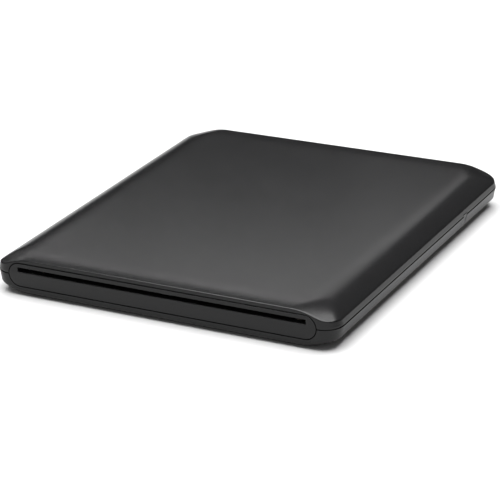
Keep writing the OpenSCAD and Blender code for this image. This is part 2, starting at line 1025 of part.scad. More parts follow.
module traverse_deck() {
  color([0.62, 0.63, 0.65])
  on_traverse()
    difference() {
      union() {
        difference() {
          translate([0, 0, deck_z])
            linear_extrude(deck_t)
              polygon([[-17, -19], [-11, -25], [64, -25], [66.5, -22.5],
                [66.5, 18.6], [64.6, 20.5], [-11, 20.5], [-17, 14.5]]);
          rod(15, 0, case_h);
          box([13.5, 64.5], [-22.5, 18.2], [0, case_h]);
          box([-2, 14], [-23.8, -17.2], [0, case_h]);
        }
        for (s = [11.3, 64.5], t = [-rod_t, rod_t])
          box([s, s + 2.2], [t - 1.8, t + 1.8], [6, deck_z + deck_t]);
        box([10.4, 11.2], [-24, -17], [6.2, deck_z + deck_t]);
        box([62.6, 65], [-22.6, -18.5], [6.4, deck_z + deck_t]);
        at_each(base_screws)
          rod(1.5, base_z + sheet, deck_z + deck_t);
        translate([pin_mid[0], pin_mid[1], hinge_z])
          rotate(225)
            box([-3.4, -0.1], [-2, 2], [-1.4, 1.4]);
        for (t = [[8, 11.6], [-12.6, -9]]) {
          along_t(hinge_s, hinge_z)
            rod(1.4, t[0], t[1]);
          box([65.5, hinge_s], t, [deck_z - 0.4, deck_z + deck_t]);
        }
      }
      for (t = [-rod_t, rod_t])
        along_s(t, rod_z)
          rod(rod_r + eps, 0, 100);
      along_s(screw_t, screw_z)
        rod(1.05, 0, 100);
      at_each(base_screws)
        rod(0.62, 0, deck_z + 0.1);
      along_t(hinge_s, hinge_z)
        rod(0.76, -20, 20);
      translate([pin_mid[0], pin_mid[1], hinge_z])
        rotate(225)
          rotate([0, 90, 0])
            rod(pin_r + eps, -2.6, 4);
    }
}

module lift_pin() {
  color([0.8, 0.8, 0.82])
  on_traverse()
    translate([pin_mid[0], pin_mid[1], hinge_z])
      rotate(225)
        rotate([0, 90, 0])
          rod(pin_r, -2.5, 2.6);
}

module guide_rods() {
  color([0.82, 0.82, 0.84])
  on_traverse()
    for (t = [-rod_t, rod_t])
      along_s(t, rod_z)
        rod(rod_r, 11.4, 66.6);
}

module spindle_base() {
  color([0.68, 0.69, 0.7])
  on_traverse()
    difference() {
      union() {
        rod(14, base_z, base_z + sheet);
        for (p = base_screws)
          rotate(atan2(p[1], p[0]))
            translate([norm(p), 0, 0]) {
              rod(2, base_z, base_z + sheet);
              box([-norm(p) + 6, 0], [-2, 2], [base_z, base_z + sheet]);
            }
        rod(2.6, base_z + sheet, 9);
      }
      rod(1.04, 0, case_h);
      at_each(base_screws)
        rod(0.75, 0, deck_z);
    }
}

module spindle_screws() {
  color([0.62, 0.62, 0.64])
  on_traverse()
    at_each(base_screws)
      translate([0, 0, base_z])
        screw(1.2, 0.4, 0.6, 1.9);
}

module spindle_stator() {
  color([0.72, 0.42, 0.2])
  on_traverse()
    difference() {
      union() {
        rod(6, 7, 8.6);
        for (i = [0:8])
          rotate(40 * i) {
            box([5, 11.4], [-0.8, 0.8], [7.4, 8.3]);
            box([6.6, 10.2], [-1.5, 1.5], [6.9, 8.8]);
            box([10.6, 11.6], [-2.6, 2.6], [7.3, 8.4]);
          }
      }
      rod(2.62, 0, case_h);
    }
}

module spindle_rotor() {
  color([0.7, 0.71, 0.73])
  on_traverse() {
    rotate_extrude($fn = 96)
      polygon([[0, 6.2], [1, 6.2], [1, 9.2], [13.5, 9.2], [13.5, 7.2], [rotor_r, 7.2],
        [rotor_r, 9.9], [7.4, 9.9], [7.4, 11.6], [6.6, 12.2], [0, 12.2]]);
    for (a = [90, 210, 330])
      rotate(a)
        box([7, 7.55], [-1.2, 1.2], [11, 11.6]);
  }
}

module rotor_magnet() {
  color([0.2, 0.2, 0.21])
  on_traverse()
    difference() {
      rod(13.48, 7.25, 9.15);
      rod(12.4, 0, case_h);
    }
}

module turntable_pad() {
  color([0.07, 0.07, 0.07])
  on_traverse()
    difference() {
      rod(rotor_r - 0.1, 9.9, seat_z);
      rod(11.4, 0, case_h);
    }
}

module sled_motor() {
  color([0.66, 0.67, 0.68])
  on_traverse()
    difference() {
      intersection() {
        along_s(screw_t, screw_z)
          rod(3.2, -1, 10.4);
        box([-2, 11], [screw_t - 2.8, screw_t + 2.8], [screw_z - 2, screw_z + 2]);
      }
      along_s(screw_t, screw_z)
        rod(1.05, 0, 20);
    }
}

module lead_screw() {
  color([0.8, 0.8, 0.82])
  on_traverse()
    along_s(screw_t, screw_z)
      rod(1, 0.2, 63.9);
}

module pickup_sled() {
  color([0.45, 0.46, 0.48])
  on_traverse()
    difference() {
      union() {
        box([16.7, 29.8], [-17.4, -13], [6, 8.4]);
        box([16.7, 29.8], [-13.5, 13], [6.2, 9.2]);
        box([20, 27], [12.5, 17.3], [6, 8.4]);
        box([20, 26], [-19.4, -17], [7.4, 8.4]);
      }
      for (t = [-rod_t, rod_t])
        along_s(t, rod_z)
          rod(rod_r + 0.04, 0, 100);
      box([lens_s - 5, lens_s + 5], [-6, 6], [7.2, case_h]);
      box([lens_s - 3, lens_s + 3], [-3, 3], [6.6, case_h]);
      box([17.8, 29], [8, 11.5], [8.6, case_h]);
    }
}

module focus_magnets() {
  color([0.55, 0.56, 0.58])
  on_traverse()
    for (s = [-1, 1])
      box([lens_s + s * 4.3 - 0.6, lens_s + s * 4.3 + 0.6], [-3.5, 3.5], [7.2, 9]);
}

module lens_holder() {
  color([0.1, 0.1, 0.1])
  on_traverse()
    difference() {
      box([lens_s - 3.2, lens_s + 3.2], [-4.5, 4.5], [7.75, 9.1]);
      translate([lens_s, 0, 0])
        rod(1.9, 0, case_h);
    }
}

module objective_lens() {
  color([0.6, 0.75, 0.85, 0.6])
  on_traverse()
    translate([lens_s, 0, 0]) {
      rod(1.89, 8.2, 9.1);
      translate([0, 0, 9.1])
        intersection() {
          translate([0, 0, -2.6])
            sphere(r = 3.15, $fn = 64);
          rod(1.89, 0, 2);
        }
    }
}

// ---------------------------------------------------------------- assembly

top_cover();
bottom_cover();
front_bezel();
dust_felts();
rubber_feet();
case_screws();
bridge_board();
bridge_controller();
bridge_capacitors();
bridge_inductor();
usb_port();
dc_jack();
bridge_socket();
bridge_screws();
mech_tray();
mech_lid();
lid_screws();
tray_screws();
damper_pads();
disc_guide();
main_board();
main_controller();
motor_driver();
flex_connector();
drive_plug();
main_board_screws();
gear_plate();
gear_pins();
roller_bracket();
roller_bushes();
loading_motor();
slide_posts();
arm_post();
hinge_bracket();
hinge_pin();
roller_shaft();
feed_rollers();
roller_gear();
load_gear_2();
load_gear_1();
motor_pinion();
motor_shaft();
lift_slider();
stop_arm();
stop_roller();
traverse_deck();
lift_pin();
guide_rods();
spindle_base();
spindle_screws();
spindle_stator();
sled_motor();
lead_screw();
spindle_rotor();
rotor_magnet();
turntable_pad();
pickup_sled();
focus_magnets();
lens_holder();
objective_lens();
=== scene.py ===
import json
import math

import bmesh
import bpy
from mathutils import Matrix, Vector


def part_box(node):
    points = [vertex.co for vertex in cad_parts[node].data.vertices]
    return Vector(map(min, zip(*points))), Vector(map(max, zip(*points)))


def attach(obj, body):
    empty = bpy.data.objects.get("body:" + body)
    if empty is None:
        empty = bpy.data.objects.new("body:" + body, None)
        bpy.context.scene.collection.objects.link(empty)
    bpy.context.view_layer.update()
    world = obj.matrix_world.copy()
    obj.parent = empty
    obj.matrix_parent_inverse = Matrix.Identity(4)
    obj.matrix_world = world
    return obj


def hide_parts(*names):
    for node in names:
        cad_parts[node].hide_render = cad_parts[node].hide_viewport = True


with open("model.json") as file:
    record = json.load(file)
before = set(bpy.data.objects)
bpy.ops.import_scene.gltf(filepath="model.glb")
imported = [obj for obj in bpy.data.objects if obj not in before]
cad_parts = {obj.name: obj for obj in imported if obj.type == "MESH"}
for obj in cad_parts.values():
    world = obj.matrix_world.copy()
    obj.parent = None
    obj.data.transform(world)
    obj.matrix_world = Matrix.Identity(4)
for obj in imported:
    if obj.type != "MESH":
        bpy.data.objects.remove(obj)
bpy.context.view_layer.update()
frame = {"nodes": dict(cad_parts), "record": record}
MM = 0.001


# ------------------------------------------------------------------ sizes, in mm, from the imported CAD

def box_mm(node):
    lo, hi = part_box(node)
    return lo / MM, hi / MM


TOP_LO, TOP_HI = box_mm("top_cover")
LOW_LO = box_mm("bottom_cover")[0]
BEZEL_LO, BEZEL_HI = box_mm("front_bezel")
USB_LO, USB_HI = box_mm("usb_port")
JACK_LO, JACK_HI = box_mm("dc_jack")
FEET_LO, FEET_HI = box_mm("rubber_feet")
SCREWS_LO, SCREWS_HI = box_mm("case_screws")

HALF_X = TOP_HI.x
HALF_Y = TOP_HI.y
TOP_Z = TOP_HI.z
LOW_Z = LOW_LO.z
SEAM_Z = TOP_LO.z

# shape of the shell
WALL = 1.6
CORNER_R = 7.5
TOP_SLOPE_W = 15.5
TOP_SLOPE_DROP = 5.0
TOP_SLOPE_POWER = 2.6
LOW_SLOPE_W = 12.5
LOW_SLOPE_R = 22.0
DRAFT_TOP = 0.32
DRAFT_LOW = 0.219
DRAFT_FRONT = 0.015
ROLL_W = 12.0
ROLL_DROP = 0.55
ROLL_POWER = 3.2
FACET_TOP = 10.55
FACET_LOW = 5.35
FACET_KX = 0.361
FACET_KY = 0.22
VALLEY_CRISP = 0.45
VALLEY_SOFTENING = 1.3
VALLEY_SOFTENS_AT = 3.0
VALLEY_SOFTENS_OVER = 7.0
GROOVE_H = 0.55
GROOVE_DEPTH = 0.42
LEDGE = 0.3
EDGE = 0.1
EDGE_INSET = 0.035
EDGE_RISE = 0.03
TOP_FRONT_FILLET = 0.42
LOW_FRONT_FILLET = 2.0
SIDE_FILLET = 0.42

# bezel and slot
BEZEL_GAP = 0.34
BEZEL_T = 1.6
BEZEL_BEVEL = 0.14
SLOT_CORNER_R = 0.35
TAB = 0.35
BEZEL_HALF_W = BEZEL_HI.x
BEZEL_Z0 = BEZEL_LO.z + TAB
BEZEL_Z1 = BEZEL_HI.z - TAB
BEZEL_Z = (BEZEL_Z0 + BEZEL_Z1) / 2
SLOT_W = 124.0
SLOT_H = 1.95
SLOT_Z = 11.075

# locating key that interrupts the seam on the right side
KEY_Y0 = 39.8
KEY_Y1 = 43.8
KEY_H = 0.4
KEY_GAP = 0.06
KEY_MARGIN = 1.0
KEY_STEP = 0.02
KEY_FLANK = 0.08

# openings for the ports at the back and recesses in the underside
PORT_DEPTH = 3.0
USB_HALF_W = 4.2
USB_HALF_H = 2.3
USB_CORNER_R = 0.4
JACK_R = 3.2
JACK_Z = 9.0
FOOT_R = 5.0
FOOT_CLEARANCE = 0.1
FOOT_RECESS = 0.6
SCREW_HEAD_R = 1.9
SCREW_CLEARANCE = 0.2
SCREW_RECESS_Z = 3.6


# ------------------------------------------------------------------ mesh helpers

def new_object(name, bm):
    mesh = bpy.data.meshes.new(name)
    bmesh.ops.recalc_face_normals(bm, faces=bm.faces)
    bm.to_mesh(mesh)
    bm.free()
    obj = bpy.data.objects.new(name, mesh)
    bpy.context.scene.collection.objects.link(obj)
    return obj


def smooth_by_angle(obj, degrees):
    for p in obj.data.polygons:
        p.use_smooth = True
    limit = math.radians(degrees)
    bm = bmesh.new()
    bm.from_mesh(obj.data)
    for e in bm.edges:
        if len(e.link_faces) == 2:
            e.smooth = e.calc_face_angle(0.0) < limit
    bm.to_mesh(obj.data)
    bm.free()


def apply_modifiers(obj):
    graph = bpy.context.evaluated_depsgraph_get()
    mesh = bpy.data.meshes.new_from_object(obj.evaluated_get(graph))
    obj.modifiers.clear()
    obj.data = mesh


def cut(obj, cutter):
    mod = obj.modifiers.new("cut", "BOOLEAN")
    mod.operation = "DIFFERENCE"
    mod.solver = "EXACT"
    mod.object = cutter
    apply_modifiers(obj)
    bpy.data.objects.remove(cutter)


def prism(points, axis, a, b):
    """A closed prism over a 2D outline, in mm, along Y (points are x, z) or Z (points are x, y)."""
    bm = bmesh.new()
    rings = []
    for h in (a, b):
        if axis == "y":
            rings.append([bm.verts.new((x * MM, h * MM, z * MM)) for x, z in points])
        else:
            rings.append([bm.verts.new((x * MM, y * MM, h * MM)) for x, y in points])
    bm.faces.new(rings[0])
    bm.faces.new(rings[1][::-1])
    n = len(points)
    for i in range(n):
        j = (i + 1) % n
        bm.faces.new((rings[0][i], rings[0][j], rings[1][j], rings[1][i]))
    return new_object("cutter", bm)


def circle_points(cx, cy, r, n=48):
    return [(cx + r * math.cos(2 * math.pi * i / n), cy + r * math.sin(2 * math.pi * i / n)) for i in range(n)]


def rounded_rect(cx, cy, hw, hh, r, n=6):
    points = []
    for k, (sx, sy) in enumerate(((1, 1), (-1, 1), (-1, -1), (1, -1))):
        for i in range(n + 1):
            a = math.radians(90 * k + 90 * i / n)
            points.append((cx + sx * (hw - r) + r * math.cos(a), cy + sy * (hh - r) + r * math.sin(a)))
    return points


# ------------------------------------------------------------------ surfaces of the shell

def smooth_min(a, b, k):
    h = max(k - abs(a - b), 0.0) / k
    return min(a, b) - h * h * k / 4


def edge_distances(x, y):
    return HALF_X - abs(x), HALF_Y - abs(y)


def top_slope_drop(u):
    return TOP_SLOPE_DROP * (max(TOP_SLOPE_W - u, 0.0) / TOP_SLOPE_W) ** TOP_SLOPE_POWER


def low_slope_rise(u):
    t = max(LOW_SLOPE_W - u, 0.0)
    return LOW_SLOPE_R - math.sqrt(LOW_SLOPE_R * LOW_SLOPE_R - t * t)


def valley_softness(u):
    """How broadly a corner facet blends into the slope: crisp at the edge, soft inwards."""
    t = min(max((u - VALLEY_SOFTENS_AT) / VALLEY_SOFTENS_OVER, 0.0), 1.0)
    return VALLEY_CRISP + VALLEY_SOFTENING * t * t * (3 - 2 * t)


def top_height(x, y):
    u, v = edge_distances(x, y)
    z = TOP_Z - top_slope_drop(u) - ROLL_DROP * (max(ROLL_W - v, 0.0) / ROLL_W) ** ROLL_POWER
    facet = FACET_TOP + FACET_KX * u + FACET_KY * v
    return smooth_min(z, facet, valley_softness(u))


def low_height(x, y):
    u, v = edge_distances(x, y)
    z = LOW_Z + low_slope_rise(u)
    facet = FACET_LOW - FACET_KX * u - FACET_KY * v
    return -smooth_min(-z, -facet, valley_softness(u))


# ------------------------------------------------------------------ columns round the outline

END_DENSE = 14.0
END_FINE = 0.7
COARSE = 4.0
CORNER_STEPS = 20
OPEN_ANGLES = (4.2, 8, 13, 19, 26, 34, 43, 53, 64, 76)
OPEN_MARGIN = 0.03


def spread(a, b, dense=END_DENSE, fine=END_FINE, coarse=COARSE):
    """Positions from a to b, fine near both ends for a length of dense, coarse between."""
    n = max(int(round(dense / fine)), 1)
    left = [a + dense * i / n for i in range(n + 1)]
    m = max(int(round((b - a - 2 * dense) / coarse)), 1)
    middle = [a + dense + (b - a - 2 * dense) * i / m for i in range(1, m)]
    return left + middle + [b - p + a for p in reversed(left)]


OPEN_R = (BEZEL_Z1 - BEZEL_Z0) / 2 + BEZEL_GAP
OPEN_STRAIGHT = BEZEL_HALF_W + BEZEL_GAP - OPEN_R


def opening_edge(x, side):
    """Height of the bezel opening's edge at x, above (side 1) or below (-1) its middle, or None outside it."""
    t = abs(x) - OPEN_STRAIGHT
    if t <= 0:
        return BEZEL_Z + side * OPEN_R
    if t >= OPEN_R:
        return None
    return BEZEL_Z + side * math.sqrt(OPEN_R * OPEN_R - t * t)


def front_xs():
    straight = HALF_X - CORNER_R
    arc = [OPEN_STRAIGHT + OPEN_R * math.cos(math.radians(a)) for a in OPEN_ANGLES]
    outer = [straight, OPEN_STRAIGHT + OPEN_R + OPEN_MARGIN]
    inner = spread(-OPEN_STRAIGHT, OPEN_STRAIGHT, dense=6, fine=1.0)
    right = outer + arc
    return [-x for x in right] + inner + right[::-1]


def side_ys(key):
    straight = HALF_Y - CORNER_R
    ys = spread(-straight, straight)
    if key:
        ys = [y for y in ys if not KEY_Y0 - KEY_MARGIN < y < KEY_Y1 + KEY_MARGIN]
        ys += [KEY_Y0 - KEY_MARGIN, KEY_Y0 - KEY_STEP, KEY_Y0, KEY_Y0 + KEY_FLANK, (KEY_Y0 + KEY_Y1) / 2,
               KEY_Y1 - KEY_FLANK, KEY_Y1, KEY_Y1 + KEY_STEP, KEY_Y1 + KEY_MARGIN]
        ys.sort()
    return ys


def make_columns():
    """The columns round the outline, from the front's left end and then to the right, back and left."""
    columns = [("front", x) for x in front_xs()]
    columns += [("corner", 1, -1, -90 + 90 * i / CORNER_STEPS) for i in range(1, CORNER_STEPS)]
    columns += [("right", y) for y in side_ys(True)]
    columns += [("corner", 1, 1, 90 * i / CORNER_STEPS) for i in range(1, CORNER_STEPS)]
    columns += [("rear", x) for x in reversed(spread(CORNER_R - HALF_X, HALF_X - CORNER_R))]
    columns += [("corner", -1, 1, 90 + 90 * i / CORNER_STEPS) for i in range(1, CORNER_STEPS)]
    columns += [("left", y) for y in reversed(side_ys(False))]
    columns += [("corner", -1, -1, 180 + 90 * i / CORNER_STEPS) for i in range(1, CORNER_STEPS)]
    return columns


TRUE_OFFSET = 2.0
RADIUS_GROWTH = 0.85
RADIUS_MAX = 18.0


def ring_radius(d):
    """Corner radius of the ring at inset d: a true offset near the wall, rounder and rounder inwards."""
    if d <= TRUE_OFFSET:
        return CORNER_R - d
    return min(CORNER_R - TRUE_OFFSET + RADIUS_GROWTH * (d - TRUE_OFFSET), RADIUS_MAX)


def ring_point(column, d):
    """Plan position of a column's point at inset d."""
    r = ring_radius(d)
    cx, cy = HALF_X - d - r, HALF_Y - d - r
    kind = column[0]
    if kind == "front":
        return column[1] * cx / (HALF_X - CORNER_R), d - HALF_Y
    if kind == "rear":
        return column[1] * cx / (HALF_X - CORNER_R), HALF_Y - d
    if kind == "right":
        return HALF_X - d, column[1] * cy / (HALF_Y - CORNER_R)
    if kind == "left":
        return d - HALF_X, column[1] * cy / (HALF_Y - CORNER_R)
    a = math.radians(column[3])
    return column[1] * cx + r * math.cos(a), column[2] * cy + r * math.sin(a)


def side_weight(column):
    """1 on the drafted sides, 0 on the flat front and back."""
    if column[0] in ("right", "left"):
        return 1.0
    if column[0] in ("front", "rear"):
        return 0.0
    return math.cos(math.radians(column[3])) ** 2


RINGS = [TRUE_OFFSET + 0.5 * i for i in range(1, 25)] + [15.5, 17.5, 20, 24, 30, 38, 46, 54]
WALL_ROWS = 5
FILLET_STEPS = 7
INNER_EDGE = 0.35
EDGE_SEARCH_D = 3.0
EDGE_SEARCH_STEPS = 40


def shell_profile(column, height, sign, draft, z_edge, rim):
    """Points (inset, z) from the rim of one half up its wall, over the fillet and onto its broad face."""
    w = side_weight(column)
    slope = DRAFT_FRONT + (draft - DRAFT_FRONT) * w
    front_fillet = TOP_FRONT_FILLET if sign > 0 else LOW_FRONT_FILLET
    fillet = front_fillet + (SIDE_FILLET - front_fillet) * w

    def surface(d):
        return height(*ring_point(column, d))

    lo, hi = 0.0, EDGE_SEARCH_D
    for _ in range(EDGE_SEARCH_STEPS):
        mid = (lo + hi) / 2
        if sign * (surface(mid) - SEAM_Z) > mid / slope:
            lo = mid
        else:
            hi = mid
    d_edge = (lo + hi) / 2
    z_top = surface(d_edge)
    a = (d_edge - slope * fillet, z_top - sign * fillet)
    b = (d_edge, z_top)
    c = (d_edge + fillet, surface(d_edge + fillet))
    start = (slope * abs(z_edge + sign * EDGE - SEAM_Z), z_edge + sign * EDGE)
    points = list(rim)
    for i in range(WALL_ROWS):
        t = i / WALL_ROWS
        points.append((start[0] + (a[0] - start[0]) * t, start[1] + (a[1] - start[1]) * t))
    for i in range(FILLET_STEPS + 1):
        t = i / FILLET_STEPS
        points.append(tuple((1 - t) ** 2 * a[k] + 2 * t * (1 - t) * b[k] + t * t * c[k] for k in (0, 1)))
    for i in range(1, 4):
        d = c[0] + (RINGS[0] - c[0]) * i / 4
        points.append((d, surface(d)))
    points += [(d, surface(d)) for d in RINGS]
    return points


def inner_profile(column, height, sign, z_edge):
    """Points (inset, z) up the inside of the wall and onto the ceiling, one wall thickness behind the face."""
    step = 0.05
    points = []
    ceiling = []
    for d in [WALL + INNER_EDGE] + RINGS:
        x, y = ring_point(column, d)
        gx = (height(x + step, y) - height(x - step, y)) / (2 * step)
        gy = (height(x, y + step) - height(x, y - step)) / (2 * step)
        ceiling.append((d, height(x, y) - sign * WALL * math.sqrt(1 + gx * gx + gy * gy)))
    for i in range(1, 4):
        points.append((WALL, z_edge + (ceiling[0][1] - z_edge) * i / 4))
    return points + ceiling


def build_shell(name, profiles):
    """profiles: per column (outer points, inner points); every column has the same counts."""
    bm = bmesh.new()
    columns = make_columns()
    grid = []
    for column, (outer, inner) in zip(columns, profiles):
        loop = [(d, z) for d, z in reversed(outer)] + inner
        verts = []
        for d, z in loop:
            x, y = ring_point(column, d)
            verts.append(bm.verts.new((x * MM, y * MM, z * MM)))
        grid.append(verts)
    n, rows = len(grid), len(grid[0])
    for i in range(n):
        a, b = grid[i], grid[(i + 1) % n]
        for k in range(rows - 1):
            bm.faces.new((a[k], b[k], b[k + 1], a[k + 1]))
    bm.faces.new([g[0] for g in grid])
    bm.faces.new([g[-1] for g in grid][::-1])
    return new_object(name, bm)


def top_edge(column):
    if column[0] == "front":
        z = opening_edge(column[1], 1)
        if z is not None:
            return max(z, SEAM_Z)
    if column[0] == "right" and KEY_Y0 - KEY_STEP / 2 < column[1] < KEY_Y1 + KEY_STEP / 2:
        return SEAM_Z + KEY_H + KEY_GAP
    return SEAM_Z


def build_top_cover():
    profiles = []
    for column in make_columns():
        z = top_edge(column)
        rim = [(WALL, z), (GROOVE_DEPTH + LEDGE, z), (EDGE + 0.01, z), (EDGE_INSET, z + EDGE_RISE)]
        outer = shell_profile(column, top_height, 1, DRAFT_TOP, z, rim)
        profiles.append((outer, inner_profile(column, top_height, 1, z)))
    return build_shell("case_top_cover", profiles)


LIP_FADES_BELOW = 1.2


def build_bottom_cover():
    profiles = []
    for column in make_columns():
        z_top, z = SEAM_Z, SEAM_Z - GROOVE_H
        opening = opening_edge(column[1], -1) if column[0] == "front" else None
        key = column[0] == "right" and KEY_Y0 + KEY_FLANK / 2 < column[1] < KEY_Y1 - KEY_FLANK / 2
        if opening is not None:
            z = min(opening, z)
            z_top = min(opening + 1.0, SEAM_Z) if opening > SEAM_Z - LIP_FADES_BELOW else z
        if key:
            z = z_top = SEAM_Z + KEY_H
        rim = [(WALL, z_top), (GROOVE_DEPTH, z_top), (GROOVE_DEPTH, z), (EDGE + 0.02, z),
               (EDGE_INSET, z - EDGE_RISE)]
        outer = shell_profile(column, low_height, -1, DRAFT_LOW, z, rim)
        profiles.append((outer, inner_profile(column, low_height, -1, z_top)))
    return build_shell("case_bottom_cover", profiles)


def cut_ports(obj):
    usb_x, usb_z = (USB_LO.x + USB_HI.x) / 2, (USB_LO.z + USB_HI.z) / 2
    jack_x = (JACK_LO.x + JACK_HI.x) / 2
    for outline in (rounded_rect(usb_x, usb_z, USB_HALF_W, USB_HALF_H, USB_CORNER_R),
                    circle_points(jack_x, JACK_Z, JACK_R)):
        cut(obj, prism(outline, "y", HALF_Y - PORT_DEPTH, HALF_Y + 1))


def cut_underside(obj):
    recesses = ((FEET_LO, FEET_HI, FOOT_R, FOOT_CLEARANCE, LOW_Z + FOOT_RECESS),
                (SCREWS_LO, SCREWS_HI, SCREW_HEAD_R, SCREW_CLEARANCE, SCREW_RECESS_Z))
    for sx in (-1, 1):
        for lo, hi, r, clearance, z in recesses:
            for y in (lo.y + r, hi.y - r):
                cut(obj, prism(circle_points(sx * (hi.x - r), y, r + clearance), "z", -1, z))


# ------------------------------------------------------------------ bezel

def stadium_points(half_w, r, n=28):
    points = []
    for s in (1, -1):
        for i in range(n + 1):
            a = math.radians(-90 + 180 * i / n) if s > 0 else math.radians(90 + 180 * i / n)
            points.append((s * (half_w - r) + r * math.cos(a), r * math.sin(a)))
    return points


def build_bezel():
    """The stadium-shaped plate with the slot through it, all edges rounded."""
    curve = bpy.data.curves.new("bezel_curve", "CURVE")
    curve.dimensions = "2D"
    curve.fill_mode = "BOTH"
    radius = (BEZEL_Z1 - BEZEL_Z0) / 2
    outlines = [
        stadium_points(BEZEL_HALF_W - BEZEL_BEVEL, radius - BEZEL_BEVEL),
        rounded_rect(0, SLOT_Z - BEZEL_Z, SLOT_W / 2 + BEZEL_BEVEL, SLOT_H / 2 + BEZEL_BEVEL, SLOT_CORNER_R, 8),
    ]
    for points in outlines:
        spline = curve.splines.new("POLY")
        spline.points.add(len(points) - 1)
        for p, (x, z) in zip(spline.points, points):
            p.co = (x * MM, z * MM, 0, 1)
        spline.use_cyclic_u = True
    curve.extrude = (BEZEL_T / 2 - BEZEL_BEVEL) * MM
    curve.bevel_depth = BEZEL_BEVEL * MM
    curve.bevel_resolution = 3
    holder = bpy.data.objects.new("bezel_curve", curve)
    bpy.context.scene.collection.objects.link(holder)
    graph = bpy.context.evaluated_depsgraph_get()
    mesh = bpy.data.meshes.new_from_object(holder.evaluated_get(graph))
    bpy.data.objects.remove(holder)
    y_mid = BEZEL_LO.y + BEZEL_T / 2
    mesh.transform(Matrix.Translation((0, y_mid * MM, BEZEL_Z * MM)) @ Matrix.Rotation(math.radians(90), 4, "X"))
    bm = bmesh.new()
    bm.from_mesh(mesh)
    bmesh.ops.remove_doubles(bm, verts=bm.verts, dist=1e-7)
    obj = new_object("bezel_plate", bm)
    smooth_by_angle(obj, 25)
    return obj


# ------------------------------------------------------------------ materials

def node_material(name):
    mat = bpy.data.materials.new(name)
    mat.use_nodes = True
    nodes, links = mat.node_tree.nodes, mat.node_tree.links
    return mat, nodes, links, nodes["Principled BSDF"]


def coordinates(nodes):
    return nodes.new("ShaderNodeTexCoord").outputs["Object"]


NOISE_ROUGHNESS = 0.55
BROAD_SCALE = 60.0
BROAD_DETAIL = 4.0
FINE_DETAIL = 2.0
GRAIN_RELIEF = 0.00003
TRACK_RELIEF = 0.00004


def noise(nodes, links, vector, scale, detail=3.0):
    n = nodes.new("ShaderNodeTexNoise")
    n.inputs["Scale"].default_value = scale
    n.inputs["Detail"].default_value = detail
    n.inputs["Roughness"].default_value = NOISE_ROUGHNESS
    links.new(vector, n.inputs["Vector"])
    return n.outputs["Fac"]


def ramp(nodes, links, value, stops):
    r = nodes.new("ShaderNodeValToRGB")
    elements = r.color_ramp.elements
    while len(elements) > 1:
        elements.remove(elements[-1])
    for i, (position, color) in enumerate(stops):
        e = elements[0] if i == 0 else elements.new(position)
        e.position = position
        e.color = (*color, 1.0)
    links.new(value, r.inputs["Fac"])
    return r.outputs["Color"]


def value_range(nodes, links, value, low, high, start=0.0, full=1.0):
    """Map a value running from start to full onto low to high."""
    m = nodes.new("ShaderNodeMapRange")
    m.inputs["From Min"].default_value = start
    m.inputs["From Max"].default_value = full
    m.inputs["To Min"].default_value = low
    m.inputs["To Max"].default_value = high
    links.new(value, m.inputs["Value"])
    return m.outputs["Result"]


def bump(nodes, links, height, strength, distance):
    b = nodes.new("ShaderNodeBump")
    b.inputs["Strength"].default_value = strength
    b.inputs["Distance"].default_value = distance
    links.new(height, b.inputs["Height"])
    return b.outputs["Normal"]


def shade(color, k):
    return tuple(min(c * k, 1.0) for c in color)


def surface_material(name, color, rough, metallic=0.0, grain=9000.0, bump_strength=0.15, spread_rough=0.08,
                     tint=0.12, specular=0.5, edge_tint=0.0, stretch=None):
    """A procedural finish: fine grain, broad uneven sheen, and optional lighter colour on convex edges or brushed
    grain.
    """
    mat, nodes, links, bsdf = node_material(name)
    vector = coordinates(nodes)
    grain_vector = vector
    if stretch:
        mapping = nodes.new("ShaderNodeMapping")
        mapping.inputs["Scale"].default_value = stretch
        links.new(vector, mapping.inputs["Vector"])
        grain_vector = mapping.outputs["Vector"]
    fine = noise(nodes, links, grain_vector, grain, FINE_DETAIL)
    broad = noise(nodes, links, vector, BROAD_SCALE, BROAD_DETAIL)
    tinted = ramp(nodes, links, broad, [(0.3, shade(color, 1 - tint)), (0.7, shade(color, 1 + tint))])
    if edge_tint:
        # optional lighter colour on sharp convex edges, found by pointiness
        geometry = nodes.new("ShaderNodeNewGeometry")
        convex_edge_mask = ramp(nodes, links, geometry.outputs["Pointiness"], [(0.52, (0, 0, 0)), (0.6, (1, 1, 1))])
        mix = nodes.new("ShaderNodeMix")
        mix.data_type = "RGBA"
        links.new(convex_edge_mask, mix.inputs["Factor"])
        links.new(tinted, mix.inputs["A"])
        mix.inputs["B"].default_value = (*shade(color, 1 + edge_tint), 1)
        tinted = mix.outputs["Result"]
    links.new(tinted, bsdf.inputs["Base Color"])
    bsdf.inputs["Metallic"].default_value = metallic
    bsdf.inputs["Specular IOR Level"].default_value = specular
    links.new(value_range(nodes, links, broad, rough - spread_rough, rough + spread_rough), bsdf.inputs["Roughness"])
    links.new(bump(nodes, links, fine, bump_strength, GRAIN_RELIEF), bsdf.inputs["Normal"])
    return mat


def board_material(name, color):
    """Solder mask over fine copper tracks."""
    mat, nodes, links, bsdf = node_material(name)
    vector = coordinates(nodes)
    bricks = nodes.new("ShaderNodeTexBrick")
    bricks.inputs["Scale"].default_value = 420.0
    bricks.inputs["Mortar Size"].default_value = 0.03
    links.new(vector, bricks.inputs["Vector"])
    bricks.inputs["Color1"].default_value = (*color, 1)
    bricks.inputs["Color2"].default_value = (*shade(color, 0.8), 1)
    bricks.inputs["Mortar"].default_value = (*shade(color, 1.9), 1)
    links.new(bricks.outputs["Color"], bsdf.inputs["Base Color"])
    broad = noise(nodes, links, vector, 120.0)
    links.new(value_range(nodes, links, broad, 0.28, 0.42), bsdf.inputs["Roughness"])
    links.new(bump(nodes, links, bricks.outputs["Fac"], 0.25, TRACK_RELIEF), bsdf.inputs["Normal"])
    return mat


